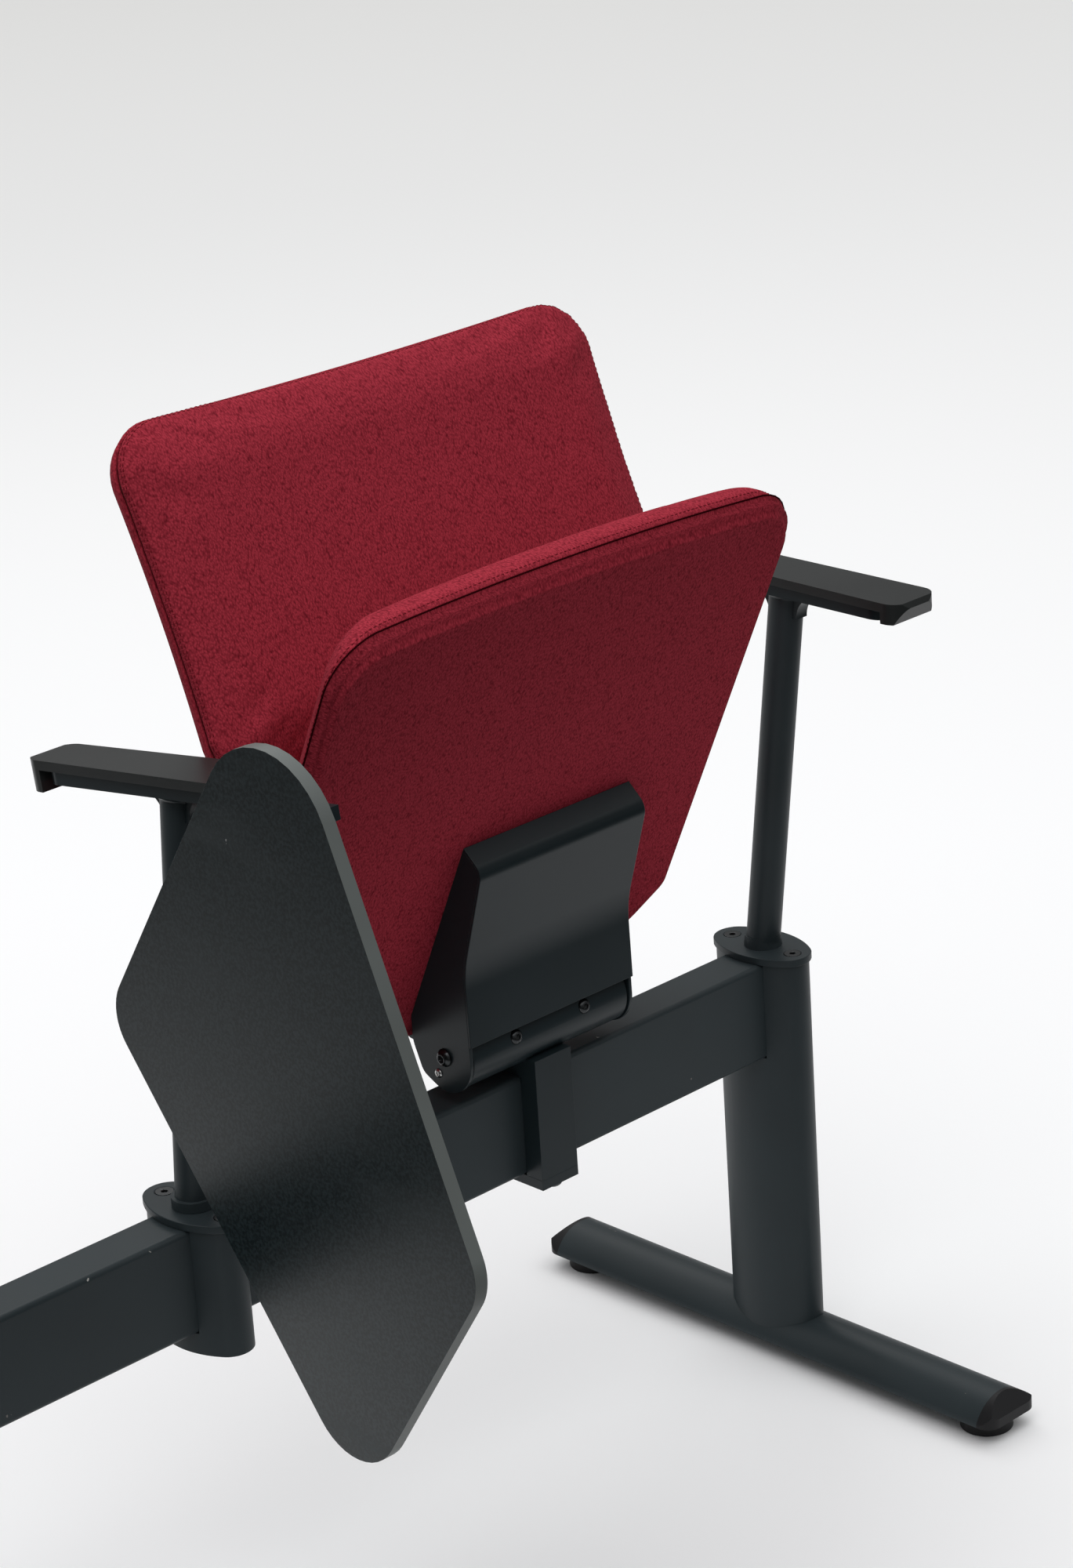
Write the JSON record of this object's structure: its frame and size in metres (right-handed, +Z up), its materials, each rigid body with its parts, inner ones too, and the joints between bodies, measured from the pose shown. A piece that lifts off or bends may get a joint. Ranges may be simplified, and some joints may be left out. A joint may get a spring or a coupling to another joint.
{
  "type": "beam seating",
  "caption": "Beam seat on oval legs: spring-return tip-up upholstered seat and fixed back on a clamp, arm pads on leaning posts, swing-up writing tablet and a bare bay for another seat.",
  "frame": {"origin": "centre of the bounding box in x and y, on the floor under the glides", "axes": "+X along the beam towards the occupied bay's outer leg, -Y is the side that a sitter faces, +Z up"},
  "size_m": [1.222, 0.596, 0.8818],
  "materials": {
    "frame_coat": "anthracite black fine-textured powder coat, satin",
    "cast_coat": "satin black coated casting or plate",
    "pad_plastic": "black moulded polyurethane, fine leather-like grain on top and glossy at the nose",
    "foot_plastic": "black moulded nylon, satin",
    "seat_fabric": "wine red wool crepe, close bouclé surface",
    "plywood": "beech plywood, sanded",
    "tablet_laminate": "solid compact laminate, dark blue-grey, lightly scuffed",
    "black_screws": "black oxide socket screws",
    "bright_steel": "zinc-plated and machined steel",
    "bearing_plastic": "acetal, moulded"
  },
  "bodies": {
    "frame": {"beam": "frame_coat", "left_column": "frame_coat", "right_column": "frame_coat", "mid_housing": "frame_coat", "housing_base": "frame_coat", "base_screws": "black_screws", "left_cap_plate": "frame_coat", "mid_cap_plate": "frame_coat", "right_cap_plate": "frame_coat", "cap_screws": "black_screws", "left_foot": "frame_coat", "right_foot": "frame_coat", "foot_end_caps": "foot_plastic", "foot_screws": "black_screws", "glides": "foot_plastic", "mid_post": "frame_coat", "right_post": "frame_coat", "mid_arm_bar": "cast_coat", "right_arm_bar": "cast_coat", "mid_arm_pad": "pad_plastic", "right_arm_pad": "pad_plastic", "arm_screws": "black_screws", "clamp_body": "cast_coat", "clamp_bottom_plate": "cast_coat", "clamp_bolts": "black_screws", "pivot_drum": "cast_coat", "drum_screws": "black_screws", "drum_bushes": "bearing_plastic", "return_spring": "bright_steel", "back_bar": "frame_coat", "back_bar_screws": "black_screws", "back_plate": "frame_coat", "back_board": "plywood", "back_rear_cover": "seat_fabric", "back_cushion": "seat_fabric", "back_screws": "black_screws", "tablet_hinge_block": "cast_coat", "hinge_block_screws": "black_screws", "hinge_bushes": "bright_steel"},
    "seat": {"torsion_shaft": "bright_steel", "pivot_screws": "black_screws", "stop_screws": "bright_steel", "left_cheek": "cast_coat", "right_cheek": "cast_coat", "bracket_cover": "cast_coat", "seat_base_plate": "cast_coat", "seat_pan": "plywood", "seat_underside": "seat_fabric", "seat_cushion": "seat_fabric", "seat_screws": "black_screws"},
    "tablet": {"hinge_pin": "bright_steel", "tablet_carrier": "cast_coat", "tablet_screws": "black_screws", "tablet_top": "tablet_laminate"}
  },
  "joints": [
    {"name": "seat_tip", "type": "hinge", "parent": "frame", "child": "seat", "pos_m": [0.315, 0.04399, 0.3812], "axis": [1, 0, 0], "range_deg": [0, 62], "stiffness_Nm_per_rad": 9, "springref_deg": -25.78},
    {"name": "tablet_swing", "type": "hinge", "parent": "frame", "child": "tablet", "pos_m": [-0.022, -0.12331, 0.68], "axis": [-0.6715, 0.3132, 0.6715], "range_deg": [0, 145]}
  ]
}
